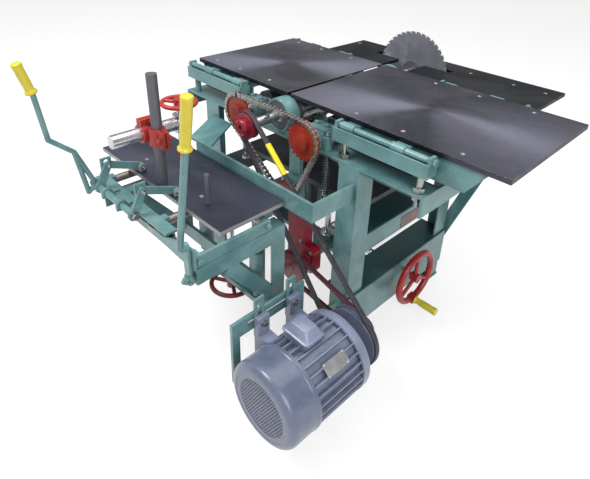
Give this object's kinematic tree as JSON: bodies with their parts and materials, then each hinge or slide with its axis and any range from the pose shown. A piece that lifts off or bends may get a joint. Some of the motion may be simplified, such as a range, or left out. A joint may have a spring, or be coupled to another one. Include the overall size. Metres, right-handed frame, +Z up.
{
  "type": "planer thicknesser",
  "caption": "Combined surface planer and thicknesser on a green steel frame, with a saw bench, slot mortiser, chain feed, belt drive and open motor.",
  "frame": {"origin": "on the floor, below the middle of the machine's plan", "axes": "+X along the planer tables to the infeed end, +Y from the mortiser to the saw bench, +Z up"},
  "size_m": [1.026, 1.2288, 0.8482],
  "materials": {
    "frame_paint": "hammered",
    "table_steel": "ground, darkened",
    "bright_steel": "turned",
    "chain_steel": "oiled",
    "black_rubber": "matte",
    "motor_paint": "satin",
    "orange_paint": "gloss",
    "crimson_paint": "gloss",
    "yellow_plastic": "gloss"
  },
  "bodies": {
    "frame": {"legs": "frame_paint", "top_frame": "frame_paint", "end_panels": "frame_paint", "frame_bars": "frame_paint", "outrigger": "frame_paint", "guide_posts": "bright_steel", "bearing_housings": "frame_paint", "spindle_bearings": "bright_steel", "roller_blocks": "frame_paint", "roller_springs": "bright_steel", "feed_gearbox": "crimson_paint", "feed_chain": "chain_steel", "main_belt": "black_rubber", "feed_belt": "black_rubber", "motor_body": "motor_paint", "motor_fan_cowl": "motor_paint", "motor_terminal_box": "motor_paint", "motor_mount": "frame_paint", "jack_nuts": "bright_steel", "saw_table_supports": "frame_paint", "outfeed_beams": "frame_paint"},
    "spindle": {"cutterblock": "bright_steel", "planer_knives": "bright_steel", "spindle_pulley": "crimson_paint", "mortise_chuck": "crimson_paint", "saw_blade": "bright_steel", "saw_flanges": "bright_steel"},
    "rotor": {"motor_shaft": "bright_steel", "motor_pulley": "motor_paint"},
    "infeed_feed": {"infeed_roller": "bright_steel", "infeed_sprocket": "orange_paint"},
    "outfeed_feed": {"outfeed_roller": "bright_steel", "outfeed_sprocket": "orange_paint"},
    "feed_drive": {"drive_sprocket": "orange_paint"},
    "feed_input": {"feed_pulley": "crimson_paint"},
    "infeed_carrier": {"infeed_beams": "frame_paint"},
    "infeed": {"infeed_table": "table_steel", "infeed_skirts": "frame_paint"},
    "outfeed": {"outfeed_table": "table_steel", "outfeed_skirts": "frame_paint"},
    "bed": {"thicknesser_bed": "table_steel"},
    "lifting_screw": {"bed_screw": "bright_steel"},
    "bed_crank": {"bed_handwheel": "orange_paint"},
    "crank_grip": {"bed_crank_grip": "yellow_plastic"},
    "saw_bench": {"saw_table": "table_steel"},
    "strut": {"saw_strut": "frame_paint"},
    "mortiser_knee": {"knee": "frame_paint"},
    "mortiser_carriage": {"carriage": "frame_paint"},
    "mortiser_table": {"mortise_table": "table_steel", "plunge_links": "frame_paint", "clamp_post": "bright_steel"},
    "plunge_arm": {"plunge_lever": "frame_paint", "plunge_grip": "yellow_plastic"},
    "traverse_arm": {"traverse_lever": "frame_paint", "traverse_grip": "yellow_plastic"},
    "lift_wheel": {"lift_handwheel": "crimson_paint"},
    "clamp_head": {"clamp_casting": "crimson_paint"},
    "clamp_arm": {"clamp_bar": "bright_steel"},
    "clamp_foot": {"clamp_pad": "crimson_paint"},
    "clamp_wheel": {"clamp_screw": "crimson_paint"}
  },
  "joints": [
    {"name": "spindle_spin", "type": "hinge", "parent": "frame", "child": "spindle", "pos_m": [-0.093, 0.167, 0.62], "axis": [0, 1, 0], "continuous": true},
    {"name": "motor_spin", "type": "hinge", "parent": "frame", "child": "rotor", "pos_m": [0.287, -0.2955, 0.202], "axis": [0, 1, 0], "continuous": true},
    {"name": "feed_pulley_spin", "type": "hinge", "parent": "frame", "child": "feed_input", "pos_m": [0.044, -0.135, 0.244], "axis": [0, 1, 0], "continuous": true},
    {"name": "infeed_roller_spin", "type": "hinge", "parent": "frame", "child": "infeed_feed", "pos_m": [0.032, 0.167, 0.6], "axis": [0, 1, 0], "continuous": true},
    {"name": "outfeed_roller_spin", "type": "hinge", "parent": "frame", "child": "outfeed_feed", "pos_m": [-0.218, 0.167, 0.6], "axis": [0, 1, 0], "continuous": true},
    {"name": "drive_sprocket_spin", "type": "hinge", "parent": "frame", "child": "feed_drive", "pos_m": [-0.026, -0.103, 0.432], "axis": [0, 1, 0], "continuous": true},
    {"name": "infeed_lift", "type": "slide", "parent": "frame", "child": "infeed_carrier", "axis": [0, 0, 1], "range_m": [-0.003, 0]},
    {"name": "infeed_slide", "type": "slide", "parent": "infeed_carrier", "child": "infeed", "axis": [1, 0, 0], "range_m": [0, 0.06]},
    {"name": "outfeed_slide", "type": "slide", "parent": "frame", "child": "outfeed", "axis": [-1, 0, 0], "range_m": [0, 0.06]},
    {"name": "bed_crank_turn", "type": "hinge", "parent": "frame", "child": "bed_crank", "pos_m": [0.2, 0.177, 0.147], "axis": [-1, 0, 0], "range_deg": [-1800, 5400]},
    {"name": "bed_lift", "type": "slide", "parent": "frame", "child": "bed", "axis": [0, 0, 1], "range_m": [-0.04, 0.12]},
    {"name": "bed_screw_turn", "type": "hinge", "parent": "frame", "child": "lifting_screw", "pos_m": [-0.114, 0.177, 0.24], "axis": [0, 0, -1], "range_deg": [-1800, 5400]},
    {"name": "crank_grip_spin", "type": "hinge", "parent": "bed_crank", "child": "crank_grip", "pos_m": [0.28, 0.177, 0.069], "axis": [1, 0, 0], "continuous": true},
    {"name": "saw_table_tilt", "type": "hinge", "parent": "frame", "child": "saw_bench", "pos_m": [-0.355, 0.498, 0.627], "axis": [0, -1, 0], "range_deg": [0, 6]},
    {"name": "saw_strut_swing", "type": "hinge", "parent": "saw_bench", "child": "strut", "pos_m": [0.332, 0.418, 0.62], "axis": [0, -1, 0], "range_deg": [-3.5, 0]},
    {"name": "knee_wheel_turn", "type": "hinge", "parent": "frame", "child": "lift_wheel", "pos_m": [-0.093, -0.238, 0.3], "axis": [0, 0, -1], "range_deg": [0, 5400]},
    {"name": "knee_lift", "type": "slide", "parent": "frame", "child": "mortiser_knee", "axis": [0, 0, 1], "range_m": [0, 0.09]},
    {"name": "traverse_slide", "type": "slide", "parent": "mortiser_knee", "child": "mortiser_carriage", "axis": [1, 0, 0], "range_m": [-0.05, 0]},
    {"name": "traverse_lever_swing", "type": "hinge", "parent": "mortiser_knee", "child": "traverse_arm", "pos_m": [0.094, -0.482, 0.43], "axis": [0, 1, 0], "range_deg": [-50.5, 0]},
    {"name": "plunge_slide", "type": "slide", "parent": "mortiser_carriage", "child": "mortiser_table", "axis": [0, -1, 0], "range_m": [0, 0.05]},
    {"name": "plunge_lever_swing", "type": "hinge", "parent": "mortiser_carriage", "child": "plunge_arm", "pos_m": [-0.184, -0.491, 0.497], "axis": [1, 0, 0], "range_deg": [0, 54]},
    {"name": "clamp_height", "type": "slide", "parent": "mortiser_table", "child": "clamp_head", "axis": [0, 0, 1], "range_m": [-0.005, 0.08]},
    {"name": "clamp_reach", "type": "slide", "parent": "clamp_head", "child": "clamp_arm", "axis": [0, 1, 0], "range_m": [-0.03, 0.05]},
    {"name": "clamp_pad_lift", "type": "slide", "parent": "clamp_arm", "child": "clamp_foot", "axis": [0, 0, 1], "range_m": [-0.006, 0.03]},
    {"name": "clamp_screw_turn", "type": "hinge", "parent": "clamp_foot", "child": "clamp_wheel", "pos_m": [-0.198, -0.295, 0.6], "axis": [0, 0, 1], "range_deg": [-540, 2700]}
  ],
  "couplings": [
    {"joint": "motor_spin", "follows": "spindle_spin", "ratio": 0.45946},
    {"joint": "feed_pulley_spin", "follows": "spindle_spin", "ratio": 0.31327},
    {"joint": "outfeed_roller_spin", "follows": "infeed_roller_spin", "ratio": 1},
    {"joint": "drive_sprocket_spin", "follows": "infeed_roller_spin", "ratio": 1.7143},
    {"joint": "bed_lift", "follows": "bed_crank_turn", "m_per_rad": 0.0012732},
    {"joint": "bed_screw_turn", "follows": "bed_crank_turn", "ratio": 1},
    {"joint": "saw_strut_swing", "follows": "saw_table_tilt", "ratio": -0.527},
    {"joint": "knee_lift", "follows": "knee_wheel_turn", "m_per_rad": 0.00095493},
    {"joint": "traverse_lever_swing", "follows": "traverse_slide", "rad_per_m": 17.552},
    {"joint": "plunge_lever_swing", "follows": "plunge_slide", "rad_per_m": 18.5},
    {"joint": "clamp_pad_lift", "follows": "clamp_screw_turn", "m_per_rad": 0.00063662}
  ]
}
